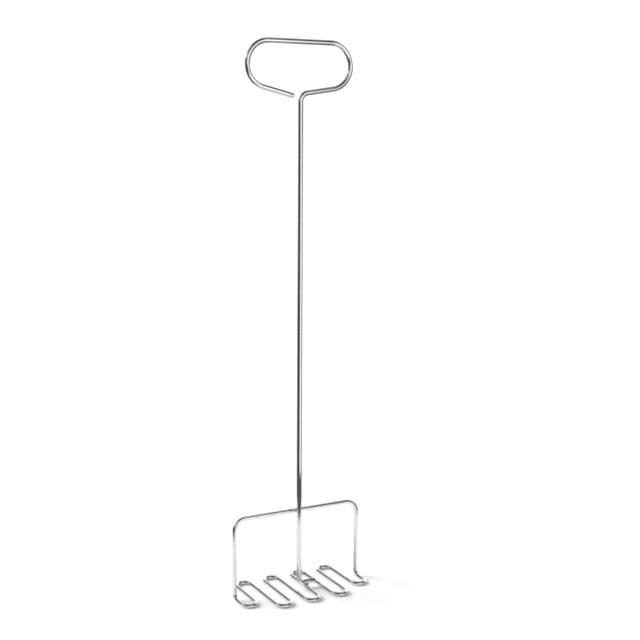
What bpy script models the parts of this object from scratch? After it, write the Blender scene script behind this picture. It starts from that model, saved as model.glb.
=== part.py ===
"""Test tube holder: a bent wire rack on a tall wire handle, joined by two small weld beads.

Metres, +Z up. The origin is on the surface that the holder stands on, at the middle of its base.
+X runs along the rack's top bar, and -Y is the side of the rack's long front fingers.
"""

from math import cos, pi, radians, sin, tan

import bmesh
import bpy
from mathutils import Vector

MM = 0.001

# Wire sizes, and the space left between touching pieces
RACK_RADIUS = 1.6 * MM
STEM_RADIUS = 2.0 * MM
FIT_GAP = 0.3 * MM
SIDES = 16  # facets round a wire
ARC_STEP = radians(9)

# Rack: ten parallel lines that turn back and forth, and an arch that stands over them
LINE_COUNT = 10
LINE_PITCH = 12.5 * MM
LEG_X = 55.5 * MM
HALF_DEPTH = 29.5 * MM
END_TURN_Y = -17.1 * MM
LEG_Y = 2.7 * MM
BAR_Z = 66.3 * MM
BAR_CORNER = 9.5 * MM
LEG_CORNER = 4.5 * MM
BAR_JOINT_X = -3.0 * MM
BAR_JOINT_GAP = 0.3 * MM

# Handle: an open loop with round ends, whose right side bends down into the stem
LOOP_TOP_Z = 435.8 * MM
LOOP_RADIUS = 17.4 * MM
LOOP_HALF_LENGTH = 26.7 * MM
LOOP_SHIFT = -0.6 * MM
FREE_SIDE_SLOPE = radians(13.5)
STEM_SIDE_SLOPE = radians(8.5)
FREE_END_X = -6.2 * MM
STEM_SHOULDER = 7.0 * MM
FOOT_CORNER = 4.8 * MM
FOOT_END_X = 14.7 * MM

# A cut wire end is dressed: its radius falls off over the last stretch
END_DRESS = 0.5 * MM
END_SHARE = 0.72

# Weld beads, as half sizes along X, Y and Z
BAR_WELD_SIZE = (2.8 * MM, 1.8 * MM, 2.0 * MM)
FOOT_WELD_SIZE = (2.4 * MM, 3.1 * MM, 1.9 * MM)

# The rack rests on the flat lowest facet of its wire
RACK_Z = RACK_RADIUS * cos(pi / SIDES)
STEM_Y = LEG_Y - RACK_RADIUS - FIT_GAP - STEM_RADIUS
FOOT_Z = RACK_Z + RACK_RADIUS + FIT_GAP + STEM_RADIUS
FOOT_WELD_X = LINE_PITCH / 2


def clear_scene():
    for obj in list(bpy.data.objects):
        bpy.data.objects.remove(obj)


def make_collection(name):
    collection = bpy.data.collections.new(name)
    bpy.context.scene.collection.children.link(collection)
    return collection


def make_metal(name, color, roughness):
    material = bpy.data.materials.new(name)
    material.use_nodes = True
    shader = material.node_tree.nodes["Principled BSDF"]
    shader.inputs["Base Color"].default_value = (*color, 1.0)
    shader.inputs["Metallic"].default_value = 1.0
    shader.inputs["Roughness"].default_value = roughness
    return material


def arc(center, radius, start, end):
    """Points on an arc in the XZ plane, from one angle to another, both ends included."""
    steps = max(2, round(abs(end - start) / ARC_STEP))
    angles = [start + (end - start) * i / steps for i in range(steps + 1)]
    return [center + radius * Vector((cos(a), 0.0, sin(a))) for a in angles]


def rounded(before, corner, after, radius):
    """Points of the arc that rounds a corner between two straight stretches."""
    to_before = (before - corner).normalized()
    to_after = (after - corner).normalized()
    half = to_before.angle(to_after) / 2
    center = corner + (to_before + to_after).normalized() * radius / sin(half)
    first = corner + to_before * radius / tan(half) - center
    last = corner + to_after * radius / tan(half) - center
    swept = first.angle(last)
    steps = max(2, round(swept / ARC_STEP))
    points = []
    for i in range(steps + 1):
        t = i / steps
        blend = first * sin((1 - t) * swept) + last * sin(t * swept)
        points.append(center + blend / sin(swept))
    return points


def rounded_path(corners, radii):
    """A path through the corners, each inner one rounded to its radius."""
    points = [corners[0]]
    for i, radius in enumerate(radii, start=1):
        points += rounded(corners[i - 1], corners[i], corners[i + 1], radius)
    return points + [corners[-1]]


def without_repeats(points):
    kept = [points[0]]
    for point in points[1:]:
        if (point - kept[-1]).length > 0.01 * MM:
            kept.append(point)
    return kept


def line_x(index):
    """Where a line of the rack runs. The outer two stand under the legs."""
    x = (index - (LINE_COUNT - 1) / 2) * LINE_PITCH
    return max(-LEG_X, min(LEG_X, x))


def turn_y(index):
    """Where the rack turns back between this line and the next one."""
    if index % 2:
        return HALF_DEPTH
    return END_TURN_Y if index in (0, LINE_COUNT - 2) else -HALF_DEPTH


def rack_path():
    """From the joint in the top bar, down the left leg, through the lines, and back to the joint."""
    half_gap = BAR_JOINT_GAP / 2
    corners = [
        Vector((BAR_JOINT_X - half_gap, LEG_Y, BAR_Z)),
        Vector((-LEG_X, LEG_Y, BAR_Z)),
        Vector((-LEG_X, LEG_Y, RACK_Z)),
    ]
    radii = [BAR_CORNER, LEG_CORNER]
    for index in range(LINE_COUNT - 1):
        corners.append(Vector((line_x(index), turn_y(index), RACK_Z)))
        corners.append(Vector((line_x(index + 1), turn_y(index), RACK_Z)))
        radii += [(line_x(index + 1) - line_x(index)) / 2] * 2
    corners.append(Vector((LEG_X, LEG_Y, RACK_Z)))
    corners.append(Vector((LEG_X, LEG_Y, BAR_Z)))
    corners.append(Vector((BAR_JOINT_X + half_gap, LEG_Y, BAR_Z)))
    radii += [LEG_CORNER, BAR_CORNER]
    return without_repeats(rounded_path(corners, radii))


def stem_path():
    """From the loop's free end, round the loop, down the stem, and along the foot."""
    center_z = LOOP_TOP_Z - LOOP_RADIUS
    left = Vector((LOOP_SHIFT - LOOP_HALF_LENGTH, STEM_Y, center_z))
    right = Vector((LOOP_SHIFT + LOOP_HALF_LENGTH, STEM_Y, center_z))
    left_arc = arc(left, LOOP_RADIUS, radians(270) - FREE_SIDE_SLOPE, radians(90))
    right_arc = arc(right, LOOP_RADIUS, radians(90), STEM_SIDE_SLOPE - radians(90))
    free_run = FREE_END_X - left_arc[0].x
    free_end = left_arc[0] + Vector((free_run, 0.0, -free_run * tan(FREE_SIDE_SLOPE)))
    shoulder_drop = right_arc[-1].x * tan(STEM_SIDE_SLOPE)
    shoulder = Vector((0.0, STEM_Y, right_arc[-1].z - shoulder_drop))
    foot = Vector((0.0, STEM_Y, FOOT_Z))
    foot_end = Vector((FOOT_END_X, STEM_Y, FOOT_Z))
    points = [free_end] + left_arc + right_arc
    points += rounded(right_arc[-1], shoulder, foot, STEM_SHOULDER)
    points += rounded(shoulder, foot, foot_end, FOOT_CORNER)
    return points + [foot_end]


def with_dressed_ends(points):
    """The path with a point added near each end, and each point's share of the wire's radius."""
    first = points[0] + (points[1] - points[0]).normalized() * END_DRESS
    last = points[-1] + (points[-2] - points[-1]).normalized() * END_DRESS
    path = [points[0], first] + points[1:-1] + [last, points[-1]]
    shares = [END_SHARE] + [1.0] * (len(path) - 2) + [END_SHARE]
    return path, shares


def make_wire(name, points, radius, dressed=True):
    """A wire as a mesh: a bevelled curve with filled caps, whose caps are then welded on."""
    shares = [1.0] * len(points)
    if dressed:
        points, shares = with_dressed_ends(points)
    curve = bpy.data.curves.new(name, "CURVE")
    curve.dimensions = "3D"
    curve.twist_mode = "MINIMUM"
    curve.bevel_depth = radius
    curve.bevel_resolution = (SIDES - 4) // 2
    curve.use_fill_caps = True
    spline = curve.splines.new("POLY")
    spline.points.add(len(points) - 1)
    for target, point, share in zip(spline.points, points, shares):
        target.co = (*point, 1.0)
        target.radius = share
        target.tilt = pi / SIDES  # turns a facet, not an edge, to face straight down
    source = bpy.data.objects.new(name + "_curve", curve)
    bpy.context.scene.collection.objects.link(source)
    graph = bpy.context.evaluated_depsgraph_get()
    mesh = bpy.data.meshes.new_from_object(source.evaluated_get(graph))
    mesh.name = name
    weld_caps(mesh)
    wire = bpy.data.objects.new(name, mesh)
    wire.matrix_world = source.matrix_world.copy()
    bpy.data.objects.remove(source)
    return wire


def weld_caps(mesh):
    work = bmesh.new()
    work.from_mesh(mesh)
    bmesh.ops.remove_doubles(work, verts=work.verts, dist=0.001 * MM)
    bmesh.ops.recalc_face_normals(work, faces=work.faces)
    for face in work.faces:
        face.smooth = len(face.verts) == 4
    work.to_mesh(mesh)
    work.free()


def make_cutter(name, points, radius, collection):
    """A slightly fatter stretch of wire, which leaves the fit gap where it cuts."""
    cutter = make_wire(name, points, radius + FIT_GAP, dressed=False)
    cutter.hide_render = True
    cutter.display_type = "WIRE"
    collection.objects.link(cutter)
    return cutter


def make_weld(name, center, half_size, cutters):
    """A bead of weld metal that fills the corners between two crossing wires."""
    bpy.ops.mesh.primitive_uv_sphere_add(segments=32, ring_count=20, radius=1.0, location=center)
    bead = bpy.context.object
    bead.name = name
    bead.data.name = name
    bead.scale = half_size
    for collection in list(bead.users_collection):
        collection.objects.unlink(bead)
    for cutter in cutters:
        cut = bead.modifiers.new("cut_" + cutter.name, "BOOLEAN")
        cut.operation = "DIFFERENCE"
        cut.solver = "EXACT"
        cut.object = cutter
    bpy.ops.object.select_all(action="DESELECT")
    return bead


def crossing_cutters(name, rack_ends, stem_points, collection):
    """Cutters for one crossing: a stretch of the rack wire, and one of the stem."""
    return [
        make_cutter(name + "_rack_cutter", rack_ends, RACK_RADIUS, collection),
        make_cutter(name + "_stem_cutter", stem_points, STEM_RADIUS, collection),
    ]


def make_bar_weld(cutter_collection):
    """Where the stem crosses in front of the top bar."""
    reach = 20 * MM
    bar = [Vector((-reach, LEG_Y, BAR_Z)), Vector((reach, LEG_Y, BAR_Z))]
    stem = [Vector((0.0, STEM_Y, BAR_Z + reach)), Vector((0.0, STEM_Y, BAR_Z - reach))]
    cutters = crossing_cutters("bar_weld", bar, stem, cutter_collection)
    contact = (0.0, LEG_Y - RACK_RADIUS - FIT_GAP / 2, BAR_Z)
    return make_weld("bar_weld", contact, BAR_WELD_SIZE, cutters)


def make_foot_weld(cutter_collection):
    """Where the stem's foot crosses over one of the rack's lines."""
    reach = 20 * MM
    line = [Vector((FOOT_WELD_X, STEM_Y + y, RACK_Z)) for y in (-reach, reach)]
    foot = Vector((0.0, STEM_Y, FOOT_Z))
    above = foot + Vector((0.0, 0.0, reach))
    beyond = foot + Vector((reach, 0.0, 0.0))
    bend = [above] + rounded(above, foot, beyond, FOOT_CORNER) + [beyond]
    cutters = crossing_cutters("foot_weld", line, bend, cutter_collection)
    contact = (FOOT_WELD_X, STEM_Y, RACK_Z + RACK_RADIUS + FIT_GAP / 2)
    return make_weld("foot_weld", contact, FOOT_WELD_SIZE, cutters)


def build():
    clear_scene()
    holder = make_collection("test_tube_holder")
    cutters = make_collection("cutters")
    polished = (0.78, 0.78, 0.79)
    weld_metal = (0.62, 0.62, 0.63)
    pieces = [
        (make_wire("rack_wire", rack_path(), RACK_RADIUS), polished, 0.12),
        (make_wire("handle_stem", stem_path(), STEM_RADIUS), polished, 0.08),
        (make_bar_weld(cutters), weld_metal, 0.3),
        (make_foot_weld(cutters), weld_metal, 0.3),
    ]
    for piece, color, roughness in pieces:
        holder.objects.link(piece)
        piece.data.materials.append(make_metal(piece.name + "_metal", color, roughness))


build()
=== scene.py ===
"""The looks of the test tube holder: bright steel wires and weld beads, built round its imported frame.

Metres, +Z up, in the frame's own axes: +X along the rack's top bar, -Y towards its long front
fingers, and the floor at Z = 0.
"""
from math import ceil, cos, pi, radians, sin, tan

import bmesh
import bpy
from mathutils import Matrix, Vector, noise


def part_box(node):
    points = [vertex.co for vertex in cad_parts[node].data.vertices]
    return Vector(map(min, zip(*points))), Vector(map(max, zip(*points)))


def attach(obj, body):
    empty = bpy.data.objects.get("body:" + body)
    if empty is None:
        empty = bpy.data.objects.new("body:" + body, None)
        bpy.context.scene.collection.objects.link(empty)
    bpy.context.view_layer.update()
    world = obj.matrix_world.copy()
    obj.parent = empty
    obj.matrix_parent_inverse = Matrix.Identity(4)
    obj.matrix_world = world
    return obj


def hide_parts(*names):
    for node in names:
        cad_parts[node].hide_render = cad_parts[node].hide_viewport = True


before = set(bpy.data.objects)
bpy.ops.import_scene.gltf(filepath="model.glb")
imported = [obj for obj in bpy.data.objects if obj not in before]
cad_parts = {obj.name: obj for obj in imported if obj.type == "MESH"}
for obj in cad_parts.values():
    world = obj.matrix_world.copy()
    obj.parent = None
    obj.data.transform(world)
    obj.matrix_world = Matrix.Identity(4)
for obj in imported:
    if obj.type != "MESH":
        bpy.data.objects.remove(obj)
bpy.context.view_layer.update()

MM = 0.001

# Wire sizes, and the gap that the frame leaves between touching pieces
RACK_RADIUS = 1.6 * MM
STEM_RADIUS = 2.0 * MM
FIT_GAP = 0.3 * MM
SIDES = 40  # facets round a wire
ARC_STEP = radians(4)
STRAIGHT_STEP = 6 * MM
SAME_POINT = 0.01 * MM

# Rack: ten parallel lines that turn back and forth, and an arch that stands over them
LINE_COUNT = 10
LINE_PITCH = 12.5 * MM
END_TURN_Y = -17.1 * MM
BAR_CORNER = 9.5 * MM
LEG_CORNER = 4.5 * MM
BAR_JOINT_X = -3.0 * MM
BAR_JOINT_GAP = 0.3 * MM

# Handle: an open loop with round ends, whose right side bends down into the stem
LOOP_RADIUS = 17.4 * MM
FREE_SIDE_SLOPE = radians(13.5)
STEM_SIDE_SLOPE = radians(8.5)
FREE_END_X = -6.2 * MM
STEM_SHOULDER = 7.0 * MM
FOOT_CORNER = 4.8 * MM
FOOT_END_X = 14.7 * MM

# A cut wire end is rounded over by this much
END_ROUND = 0.7 * MM
END_RINGS = 6

# Weld beads, as half sizes along X, Y and Z. Broad lumps and small ripples shape their surface:
# for each, how many fit in a radius, and how far it stands out as a share of the radius.
BAR_WELD_SIZE = (2.8 * MM, 1.8 * MM, 2.0 * MM)
FOOT_WELD_SIZE = (2.4 * MM, 3.1 * MM, 1.9 * MM)
BAR_WELD_SEED = 3.1
FOOT_WELD_SEED = 8.4
LUMP_COUNT, LUMP_SHARE = 1.7, 0.10
RIPPLE_COUNT, RIPPLE_SHARE = 5.0, 0.03

# Finishes
RACK_TINT = (0.76, 0.76, 0.765)
RACK_ROUGHNESS = 0.10
STEM_TINT = (0.77, 0.77, 0.775)
STEM_ROUGHNESS = 0.08
SMUDGE_DARKENING = 0.93
WELD_DARK = (0.56, 0.555, 0.55)
WELD_LIGHT = (0.84, 0.84, 0.835)
TABLE_WHITE = (0.9, 0.9, 0.9, 1.0)
SURROUND_BLACK = (0.06, 0.06, 0.06, 1.0)

# Camera
CAMERA_PLACE = (-0.4177, -0.8000, 0.3699)
CAMERA_YAW = radians(28.613)  # from +Y towards +X
CAMERA_PITCH = radians(9.277)  # downwards
CAMERA_ROLL = radians(0.376)
CAMERA_LENS = 65.45
SENSOR_WIDTH = 36.0

# Studio
TABLE_CENTER = (0.012, 0.04)
TABLE_RADIUS = 0.216
SURROUND_RADIUS = 0.33
SURROUND_DROP = 1 * MM
DISC_SIDES = 96
WALL_WHITE = 1.15
FILL_LIGHT = 0.6
KEY_AZIMUTH = radians(43)  # from +Y towards -X
KEY_ELEVATION = radians(38)
KEY_SPREAD = radians(34)
KEY_STRENGTH = 3.1
PIXEL_BLUR = 2.0  # width of the pixel filter, for the softness of a real lens

# What the metal reflects of the room: soft-edged light panels on dark walls. Each has its azimuth
# from and to, its elevation from and to, in degrees, and its brightness. Azimuth 0 is the side that
# the object is seen from, and azimuth 90 is to its right.
# This isn't the plan of a real studio. A separate program fitted nine of the ten panels, their edge,
# the dark room's level and the sizes and place of the table and surround to the reflections in the
# photograph. The numbers were then rounded, and some were changed. The eighth was given, not fitted.
PANELS = [
    (21, 56, -31, 16, 1.2),
    (41, 67, -31, -1, 1.4),
    (-13, 54, 0, 29, 0.6),
    (120, 208, 5, 40, 1.1),
    (148, 189, 6, 26, 0.55),
    (198, 238, -7, 15, 1.1),
    (241, 284, 24, 57, 1.0),
    (247, 316, 18, 30, 1.0),
    (345, 375, -51, -20, 1.25),
    (63, 74, 47, 66, 0.7),
]
PANEL_EDGE = 6.0
DARK_ROOM = 0.07


# ---------------------------------------------------------------- paths

def arc(center, radius, start, end):
    """Points on an arc in the XZ plane, from one angle to another, both ends included."""
    steps = max(2, ceil(abs(end - start) / ARC_STEP))
    angles = [start + (end - start) * i / steps for i in range(steps + 1)]
    return [center + radius * Vector((cos(a), 0.0, sin(a))) for a in angles]


def rounded(before, corner, after, radius):
    """Points of the arc that rounds a corner between two straight stretches."""
    to_before = (before - corner).normalized()
    to_after = (after - corner).normalized()
    half = to_before.angle(to_after) / 2
    center = corner + (to_before + to_after).normalized() * radius / sin(half)
    first = corner + to_before * radius / tan(half) - center
    last = corner + to_after * radius / tan(half) - center
    swept = first.angle(last)
    steps = max(2, ceil(swept / ARC_STEP))
    points = []
    for i in range(steps + 1):
        t = i / steps
        blend = first * sin((1 - t) * swept) + last * sin(t * swept)
        points.append(center + blend / sin(swept))
    return points


def rounded_path(corners, radii):
    """A path through the corners, each inner one rounded to its radius."""
    points = [corners[0]]
    for i, radius in enumerate(radii, start=1):
        points += rounded(corners[i - 1], corners[i], corners[i + 1], radius)
    return points + [corners[-1]]


def evenly_filled(points):
    """The path without repeated points, and with long straight stretches divided."""
    kept = [points[0]]
    for point in points[1:]:
        gap = (point - kept[-1]).length
        if gap < SAME_POINT:
            continue
        steps = max(1, ceil(gap / STRAIGHT_STEP))
        start = kept[-1]
        kept += [start.lerp(point, i / steps) for i in range(1, steps + 1)]
    return kept


def rack_path():
    """From the joint in the top bar, down the left leg, through the lines, and back to the joint."""
    low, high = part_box("rack_wire")
    leg_x = high.x - RACK_RADIUS
    half_depth = high.y - RACK_RADIUS
    rack_z = low.z + RACK_RADIUS
    bar_z = high.z - RACK_RADIUS
    leg_y = stem_y() + STEM_RADIUS + FIT_GAP + RACK_RADIUS
    half_gap = BAR_JOINT_GAP / 2

    def line_x(index):
        x = (index - (LINE_COUNT - 1) / 2) * LINE_PITCH
        return max(-leg_x, min(leg_x, x))

    def turn_y(index):
        if index % 2:
            return half_depth
        return END_TURN_Y if index in (0, LINE_COUNT - 2) else -half_depth

    corners = [
        Vector((BAR_JOINT_X - half_gap, leg_y, bar_z)),
        Vector((-leg_x, leg_y, bar_z)),
        Vector((-leg_x, leg_y, rack_z)),
    ]
    radii = [BAR_CORNER, LEG_CORNER]
    for index in range(LINE_COUNT - 1):
        corners.append(Vector((line_x(index), turn_y(index), rack_z)))
        corners.append(Vector((line_x(index + 1), turn_y(index), rack_z)))
        radii += [(line_x(index + 1) - line_x(index)) / 2] * 2
    corners.append(Vector((leg_x, leg_y, rack_z)))
    corners.append(Vector((leg_x, leg_y, bar_z)))
    corners.append(Vector((BAR_JOINT_X + half_gap, leg_y, bar_z)))
    radii += [LEG_CORNER, BAR_CORNER]
    return evenly_filled(rounded_path(corners, radii))


def stem_y():
    """The Y of the stem's centre line."""
    low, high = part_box("handle_stem")
    return (low.y + high.y) / 2


def stem_path():
    """From the loop's free end, round the loop, down the stem, and along the foot."""
    low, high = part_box("handle_stem")
    y = stem_y()
    foot_z = low.z + STEM_RADIUS
    center_z = high.z - STEM_RADIUS - LOOP_RADIUS
    reach = LOOP_RADIUS + STEM_RADIUS
    left = Vector((low.x + reach, y, center_z))
    right = Vector((high.x - reach, y, center_z))
    left_arc = arc(left, LOOP_RADIUS, radians(270) - FREE_SIDE_SLOPE, radians(90))
    right_arc = arc(right, LOOP_RADIUS, radians(90), STEM_SIDE_SLOPE - radians(90))
    free_run = FREE_END_X - left_arc[0].x
    free_end = left_arc[0] + Vector((free_run, 0.0, -free_run * tan(FREE_SIDE_SLOPE)))
    shoulder_drop = right_arc[-1].x * tan(STEM_SIDE_SLOPE)
    shoulder = Vector((0.0, y, right_arc[-1].z - shoulder_drop))
    foot = Vector((0.0, y, foot_z))
    foot_end = Vector((FOOT_END_X, y, foot_z))
    points = [free_end] + left_arc + right_arc
    points += rounded(right_arc[-1], shoulder, foot, STEM_SHOULDER)
    points += rounded(shoulder, foot, foot_end, FOOT_CORNER)
    return evenly_filled(points + [foot_end])


# ---------------------------------------------------------------- meshes

def end_rings(end, inner):
    """Points and insets that round over a cut end, from the cut face back to the full wire."""
    inward = (inner - end).normalized()
    rings = []
    for i in range(END_RINGS):
        angle = pi / 2 * i / END_RINGS
        point = end + inward * END_ROUND * (1 - sin(angle))
        rings.append((point, END_ROUND * (1 - cos(angle))))
    return rings[::-1]


def with_rounded_ends(points):
    """The path with extra points near both ends, and each point's inset from the wire's surface."""
    head = end_rings(points[0], points[1])
    tail = end_rings(points[-1], points[-2])[::-1]
    rings = head + [(point, 0.0) for point in points[1:-1]] + tail
    return [point for point, inset in rings], [inset for point, inset in rings]


def tangents(points):
    """The direction of the path at each of its points."""
    found = []
    for i in range(len(points)):
        before = points[max(i - 1, 0)]
        after = points[min(i + 1, len(points) - 1)]
        found.append((after - before).normalized())
    return found


def swept_wire(name, points, radius):
    """A closed round wire along the path. UV map "wire" holds metres along it and metres round it."""
    points, insets = with_rounded_ends(points)
    along = tangents(points)
    side = along[0].orthogonal().normalized()
    work = bmesh.new()
    rings = []
    lengths = [0.0]
    for i, point in enumerate(points):
        if i:
            side = along[i - 1].rotation_difference(along[i]) @ side
            lengths.append(lengths[-1] + (point - points[i - 1]).length)
        other = along[i].cross(side)
        ring = []
        for k in range(SIDES):
            angle = 2 * pi * k / SIDES
            out = side * cos(angle) + other * sin(angle)
            ring.append(work.verts.new(point + out * (radius - insets[i])))
        rings.append(ring)
    layer = work.loops.layers.uv.new("wire")
    for i in range(len(rings) - 1):
        for k in range(SIDES):
            after = (k + 1) % SIDES
            face = work.faces.new((rings[i][k], rings[i][after], rings[i + 1][after], rings[i + 1][k]))
            face.smooth = True
            places = ((i, k), (i, k + 1), (i + 1, k + 1), (i + 1, k))
            for loop, (ring_index, step) in zip(face.loops, places):
                loop[layer].uv = (lengths[ring_index], step / SIDES * 2 * pi * radius)
    for ring in (rings[0][::-1], rings[-1]):
        work.faces.new(ring)
    bmesh.ops.recalc_face_normals(work, faces=work.faces)
    return object_from(name, work)


def object_from(name, work):
    """An object in the scene, made from a bmesh that is then freed."""
    mesh = bpy.data.meshes.new(name)
    work.to_mesh(mesh)
    work.free()
    made = bpy.data.objects.new(name, mesh)
    bpy.context.scene.collection.objects.link(made)
    return made


def weld_bead(name, node, half_size, seed):
    """A lump of weld metal, round the middle of the node that it stands for."""
    low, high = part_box(node)
    center = (low + high) / 2
    work = bmesh.new()
    bmesh.ops.create_icosphere(work, subdivisions=5, radius=1.0)
    for vert in work.verts:
        direction = vert.co.normalized()
        lump = 1 + LUMP_SHARE * noise.noise(direction * LUMP_COUNT + Vector((seed, 0, 0)))
        lump += RIPPLE_SHARE * noise.noise(direction * RIPPLE_COUNT + Vector((0, seed, 0)))
        scaled = Vector(d * s for d, s in zip(direction, half_size))
        vert.co = center + scaled * lump
    for face in work.faces:
        face.smooth = True
    return object_from(name, work)


# ---------------------------------------------------------------- materials

def feed(tree, socket, value):
    """Link the socket to another node's output, or set it to a plain value."""
    if isinstance(value, bpy.types.NodeSocket):
        tree.links.new(value, socket)
    else:
        socket.default_value = value


def add_node(tree, kind, **inputs):
    """A node with its inputs fed from values or outputs, by name."""
    node = tree.nodes.new(kind)
    for name, value in inputs.items():
        feed(tree, node.inputs[name], value)
    return node


def calculate(tree, operation, *values):
    """The output of a math node, fed from values or outputs."""
    node = tree.nodes.new("ShaderNodeMath")
    node.operation = operation
    for socket, value in zip(node.inputs, values):
        feed(tree, socket, value)
    return node.outputs[0]


def remap(tree, value, low, high, to_low, to_high, smooth=False):
    """The value scaled from one range to another, and held within it."""
    node = tree.nodes.new("ShaderNodeMapRange")
    node.interpolation_type = "SMOOTHSTEP" if smooth else "LINEAR"
    tree.links.new(value, node.inputs["Value"])
    for key, number in (("From Min", low), ("From Max", high), ("To Min", to_low), ("To Max", to_high)):
        node.inputs[key].default_value = number
    return node.outputs[0]


def blend_colors(tree, value, low, low_color, high, high_color):
    """A colour that goes from one to another as the value goes from low to high."""
    ramp = tree.nodes.new("ShaderNodeValToRGB")
    ends = ramp.color_ramp.elements
    ends[0].position = low
    ends[0].color = (*low_color, 1.0)
    ends[1].position = high
    ends[1].color = (*high_color, 1.0)
    tree.links.new(value, ramp.inputs[0])
    return ramp.outputs[0]


def new_material(name):
    material = bpy.data.materials.new(name)
    material.use_nodes = True
    tree = material.node_tree
    return material, tree, tree.nodes["Principled BSDF"]


def object_place(tree):
    return add_node(tree, "ShaderNodeTexCoord").outputs["Object"]


def polished_wire(name, tint, roughness):
    """Drawn and electropolished steel: long faint drawing lines, soft smudges and tiny pits."""
    material, tree, shader = new_material(name)
    uv = add_node(tree, "ShaderNodeUVMap")
    uv.uv_map = "wire"
    place = object_place(tree)
    stretch = (60.0, 4500.0, 1.0)
    stretched = add_node(tree, "ShaderNodeMapping", Vector=uv.outputs[0], Scale=stretch).outputs[0]
    lines = add_node(tree, "ShaderNodeTexNoise", Vector=stretched, Scale=1.0, Detail=3.0).outputs[0]
    smudge_node = add_node(tree, "ShaderNodeTexNoise", Vector=place, Scale=55.0, Detail=4.0, Roughness=0.6)
    smudge = smudge_node.outputs[0]
    pits = add_node(tree, "ShaderNodeTexNoise", Vector=place, Scale=900.0, Detail=2.0).outputs[0]

    darker = [part * SMUDGE_DARKENING for part in tint]
    tree.links.new(blend_colors(tree, smudge, 0.3, darker, 0.7, tint), shader.inputs["Base Color"])

    from_lines = remap(tree, lines, 0.3, 0.7, -0.02, 0.02)
    from_smudge = remap(tree, smudge, 0.35, 0.7, roughness - 0.02, roughness + 0.04)
    tree.links.new(calculate(tree, "ADD", from_lines, from_smudge), shader.inputs["Roughness"])

    from_lines = calculate(tree, "MULTIPLY", lines, 0.6)
    from_pits = calculate(tree, "MULTIPLY", pits, 0.4)
    height = calculate(tree, "ADD", from_lines, from_pits)
    bump = add_node(tree, "ShaderNodeBump", Strength=0.05, Distance=0.05 * MM, Height=height)
    tree.links.new(bump.outputs[0], shader.inputs["Normal"])
    shader.inputs["Metallic"].default_value = 1.0
    return material


def weld_metal():
    """Cleaned weld metal: slightly rougher and bumpier than the wires, and uneven in colour."""
    material, tree, shader = new_material("weld_metal")
    place = object_place(tree)
    lumps_node = add_node(tree, "ShaderNodeTexNoise", Vector=place, Scale=420.0, Detail=4.0, Roughness=0.6)
    lumps = lumps_node.outputs[0]
    pits = add_node(tree, "ShaderNodeTexVoronoi", Vector=place, Scale=1500.0).outputs[0]
    color = blend_colors(tree, lumps, 0.3, WELD_DARK, 0.65, WELD_LIGHT)
    tree.links.new(color, shader.inputs["Base Color"])
    tree.links.new(remap(tree, lumps, 0.3, 0.7, 0.2, 0.1), shader.inputs["Roughness"])
    height = calculate(tree, "ADD", lumps, calculate(tree, "MULTIPLY", pits, 0.3))
    bump = add_node(tree, "ShaderNodeBump", Strength=0.12, Distance=0.2 * MM, Height=height)
    tree.links.new(bump.outputs[0], shader.inputs["Normal"])
    shader.inputs["Metallic"].default_value = 1.0
    return material


def table_paint():
    material, tree, shader = new_material("table_white")
    grain = add_node(tree, "ShaderNodeTexNoise", Vector=object_place(tree), Scale=300.0, Detail=2.0)
    tree.links.new(remap(tree, grain.outputs[0], 0.3, 0.7, 0.86, 0.87), shader.inputs["Roughness"])
    shader.inputs["Base Color"].default_value = TABLE_WHITE
    shader.inputs["Specular IOR Level"].default_value = 0.1
    return material


def dark_paint():
    material, tree, shader = new_material("dark_surround")
    grain = add_node(tree, "ShaderNodeTexNoise", Vector=object_place(tree), Scale=40.0, Detail=2.0)
    tree.links.new(remap(tree, grain.outputs[0], 0.3, 0.7, 0.8, 0.9), shader.inputs["Roughness"])
    shader.inputs["Base Color"].default_value = SURROUND_BLACK
    return material


# ---------------------------------------------------------------- studio

def window(tree, value, low, high):
    """1 between low and high, in degrees, falling smoothly to 0 over the edge on both sides."""
    soft = PANEL_EDGE / 2
    rise = remap(tree, value, low - soft, low + soft, 0.0, 1.0, smooth=True)
    fall = remap(tree, value, high - soft, high + soft, 1.0, 0.0, smooth=True)
    return calculate(tree, "MULTIPLY", rise, fall)


def room_direction(tree):
    """The azimuth and elevation that a ray leaves in, in degrees, as PANELS counts them."""
    direction = add_node(tree, "ShaderNodeTexCoord").outputs["Generated"]
    right = (cos(CAMERA_YAW), -sin(CAMERA_YAW), 0.0)
    near = (-sin(CAMERA_YAW), -cos(CAMERA_YAW), 0.0)

    def along(axis):
        node = tree.nodes.new("ShaderNodeVectorMath")
        node.operation = "DOT_PRODUCT"
        tree.links.new(direction, node.inputs[0])
        node.inputs[1].default_value = axis
        return node.outputs["Value"]

    turn = calculate(tree, "ARCTAN2", along(right), along(near))
    turn_degrees = calculate(tree, "DEGREES", turn)
    azimuth = calculate(tree, "MODULO", calculate(tree, "ADD", turn_degrees, 720.0), 360.0)
    elevation = calculate(tree, "DEGREES", calculate(tree, "ARCSINE", along((0.0, 0.0, 1.0))))
    return azimuth, elevation


def panel_light(tree, azimuth, elevation):
    """The brightness of all the panels together, in each direction."""
    total = None
    for az_low, az_high, el_low, el_high, bright in PANELS:
        middle = (az_low + az_high) / 2
        half = (az_high - az_low) / 2
        # Turned so that the panel's middle is at 180, away from where the azimuth wraps round
        turned = calculate(tree, "MODULO", calculate(tree, "ADD", azimuth, 540.0 - middle), 360.0)
        across = window(tree, turned, 180.0 - half, 180.0 + half)
        inside = calculate(tree, "MULTIPLY", across, window(tree, elevation, el_low, el_high))
        part = calculate(tree, "MULTIPLY", inside, bright)
        total = part if total is None else calculate(tree, "ADD", total, part)
    return total


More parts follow.
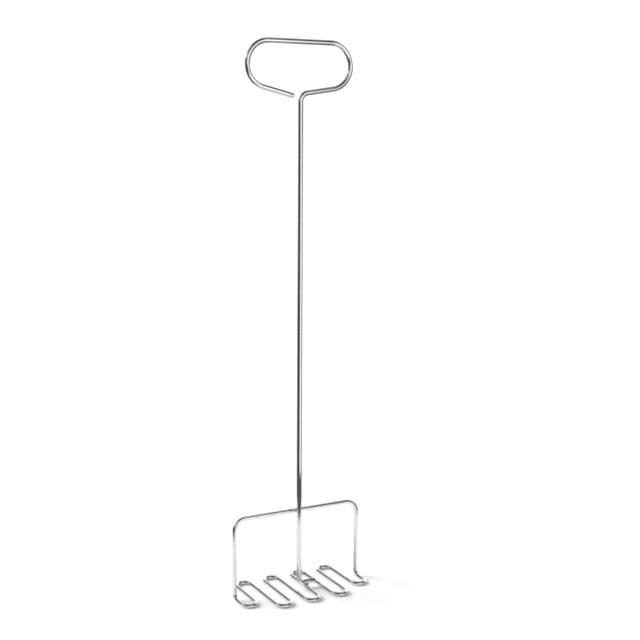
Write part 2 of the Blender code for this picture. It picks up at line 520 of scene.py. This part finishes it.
def make_world():
    """White to the camera, an even soft light to the table, and the panels to the metal."""
    world = bpy.data.worlds.new("studio")
    bpy.context.scene.world = world
    world.use_nodes = True
    tree = world.node_tree
    tree.nodes.clear()
    panels = panel_light(tree, *room_direction(tree))
    reflected = calculate(tree, "ADD", panels, DARK_ROOM)

    path = add_node(tree, "ShaderNodeLightPath")
    fill = remap(tree, path.outputs["Is Diffuse Ray"], 0.0, 1.0, 0.0, FILL_LIGHT)
    glossy = calculate(tree, "MULTIPLY", path.outputs["Is Glossy Ray"], reflected)
    camera = calculate(tree, "MULTIPLY", path.outputs["Is Camera Ray"], WALL_WHITE)
    strength = calculate(tree, "ADD", calculate(tree, "ADD", fill, glossy), camera)
    background = add_node(tree, "ShaderNodeBackground", Strength=strength)
    background.inputs["Color"].default_value = (1.0, 1.0, 1.0, 1.0)
    output = tree.nodes.new("ShaderNodeOutputWorld")
    tree.links.new(background.outputs[0], output.inputs[0])


def disc(name, radius, center):
    """A flat round sheet of the stage, not of the object."""
    work = bmesh.new()
    bmesh.ops.create_circle(work, cap_ends=True, segments=DISC_SIDES, radius=radius)
    made = object_from(name, work)
    made.location = center
    return made


def make_table():
    """A small white table, and the dark floor round it, which only the metal's reflections show."""
    table = disc("table", TABLE_RADIUS, (*TABLE_CENTER, 0.0))
    table.data.materials.append(table_paint())
    surround = disc("dark_surround", SURROUND_RADIUS, (0.0, 0.0, -SURROUND_DROP))
    surround.data.materials.append(dark_paint())
    surround.visible_camera = False
    surround.visible_diffuse = False
    surround.visible_shadow = False


def make_key_light():
    """One large soft light from behind the rack's left end, which the metal doesn't reflect."""
    data = bpy.data.lights.new("key", "SUN")
    data.angle = KEY_SPREAD
    data.energy = KEY_STRENGTH
    key = bpy.data.objects.new("key", data)
    bpy.context.scene.collection.objects.link(key)
    level = cos(KEY_ELEVATION)
    towards = Vector((-sin(KEY_AZIMUTH) * level, cos(KEY_AZIMUTH) * level, sin(KEY_ELEVATION)))
    key.rotation_euler = towards.to_track_quat("Z", "Y").to_euler()
    key.visible_glossy = False


def make_camera():
    data = bpy.data.cameras.new("camera")
    data.lens = CAMERA_LENS
    data.sensor_width = SENSOR_WIDTH
    camera = bpy.data.objects.new("camera", data)
    bpy.context.scene.collection.objects.link(camera)
    turned = Matrix.Rotation(-CAMERA_YAW, 4, "Z")
    tipped = Matrix.Rotation(pi / 2 - CAMERA_PITCH, 4, "X")
    rolled = Matrix.Rotation(CAMERA_ROLL, 4, "Z")
    camera.matrix_world = Matrix.Translation(CAMERA_PLACE) @ turned @ tipped @ rolled
    bpy.context.scene.camera = camera


# ---------------------------------------------------------------- build

def finish_piece(piece, material, node):
    piece.data.materials.append(material)
    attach(piece, "root")
    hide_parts(node)


def make_wires():
    rack = swept_wire("rack_wire_polished", rack_path(), RACK_RADIUS)
    rack_steel = polished_wire("rack_steel", RACK_TINT, RACK_ROUGHNESS)
    finish_piece(rack, rack_steel, "rack_wire")
    stem = swept_wire("handle_stem_polished", stem_path(), STEM_RADIUS)
    stem_steel = polished_wire("stem_steel", STEM_TINT, STEM_ROUGHNESS)
    finish_piece(stem, stem_steel, "handle_stem")


def make_welds():
    metal = weld_metal()
    bar_bead = weld_bead("bar_weld_bead", "bar_weld", BAR_WELD_SIZE, BAR_WELD_SEED)
    finish_piece(bar_bead, metal, "bar_weld")
    foot_bead = weld_bead("foot_weld_bead", "foot_weld", FOOT_WELD_SIZE, FOOT_WELD_SEED)
    finish_piece(foot_bead, metal, "foot_weld")


make_wires()
make_welds()
make_world()
make_table()
make_key_light()
make_camera()
bpy.context.scene.view_settings.view_transform = "Standard"
bpy.context.scene.cycles.filter_width = PIXEL_BLUR
